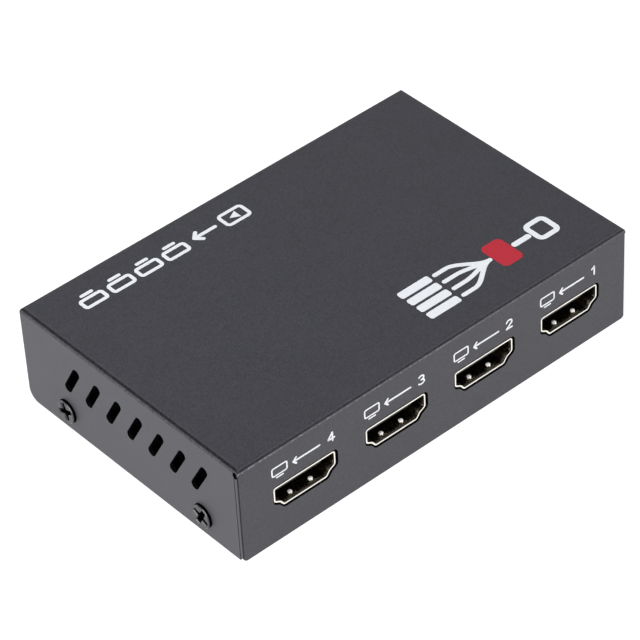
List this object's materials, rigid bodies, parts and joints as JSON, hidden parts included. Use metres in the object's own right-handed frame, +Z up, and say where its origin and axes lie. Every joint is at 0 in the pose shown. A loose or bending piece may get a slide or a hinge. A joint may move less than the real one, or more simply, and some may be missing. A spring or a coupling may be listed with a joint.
{
  "type": "hdmi splitter",
  "caption": "Flat folded-steel box that feeds one video source to several displays, with output sockets along one face, slanted side vents and a slide switch at the rear.",
  "frame": {"origin": "middle of the underside, on the surface that the box stands on", "axes": "+X along the output face, +Y from the output face to the rear panel, +Z up"},
  "size_m": [0.0974, 0.0634, 0.022],
  "materials": {
    "coated_steel": "fine textured dark grey powder coat",
    "black_screw": "glossy black",
    "bright_nickel": "bright nickel plate",
    "black_plastic": "moulded black",
    "gold_plate": "gold plate",
    "board_green": "green solder mask on glass fibre",
    "bare_steel": "zinc plate",
    "contact_brass": "plain brass",
    "lamp_red": "tinted clear resin",
    "lamp_green": "tinted clear resin",
    "chip_black": "moulded epoxy",
    "sink_aluminium": "extruded",
    "grey_pad": "soft silicone",
    "ferrite": "dark ferrite",
    "tan_ceramic": "fired ceramic with tinned ends"
  },
  "bodies": {
    "box": {"top_cover": "coated_steel", "base_tray": "coated_steel", "cover_screws": "black_screw", "main_board": "board_green", "board_posts": "bare_steel", "board_screws": "bare_steel", "output_1_shell": "bright_nickel", "output_1_insulator": "black_plastic", "output_1_contacts": "gold_plate", "output_2_shell": "bright_nickel", "output_2_insulator": "black_plastic", "output_2_contacts": "gold_plate", "output_3_shell": "bright_nickel", "output_3_insulator": "black_plastic", "output_3_contacts": "gold_plate", "output_4_shell": "bright_nickel", "output_4_insulator": "black_plastic", "output_4_contacts": "gold_plate", "input_shell": "bright_nickel", "input_insulator": "black_plastic", "input_contacts": "gold_plate", "dc_jack_body": "black_plastic", "dc_jack_pin": "bright_nickel", "dc_jack_leaf": "bare_steel", "switch_frame": "bare_steel", "switch_base": "black_plastic", "switch_terminals": "contact_brass", "lamp_block": "black_plastic", "power_lamp": "lamp_red", "port_lamp_1": "lamp_green", "port_lamp_2": "lamp_green", "port_lamp_3": "lamp_green", "port_lamp_4": "lamp_green", "lamp_leads": "bare_steel", "splitter_chip": "chip_black", "thermal_pad": "grey_pad", "heat_sink": "sink_aluminium", "control_chip": "chip_black", "memory_chip": "chip_black", "regulators": "chip_black", "crystal": "bare_steel", "choke": "ferrite", "smoothing_capacitor": "sink_aluminium", "chip_capacitors": "tan_ceramic"},
    "slider": {"switch_slider": "black_plastic", "switch_wiper": "contact_brass"}
  },
  "joints": [
    {"name": "power_slide", "type": "slide", "parent": "box", "child": "slider", "axis": [1, 0, 0], "range_m": [0, 0.002]}
  ]
}
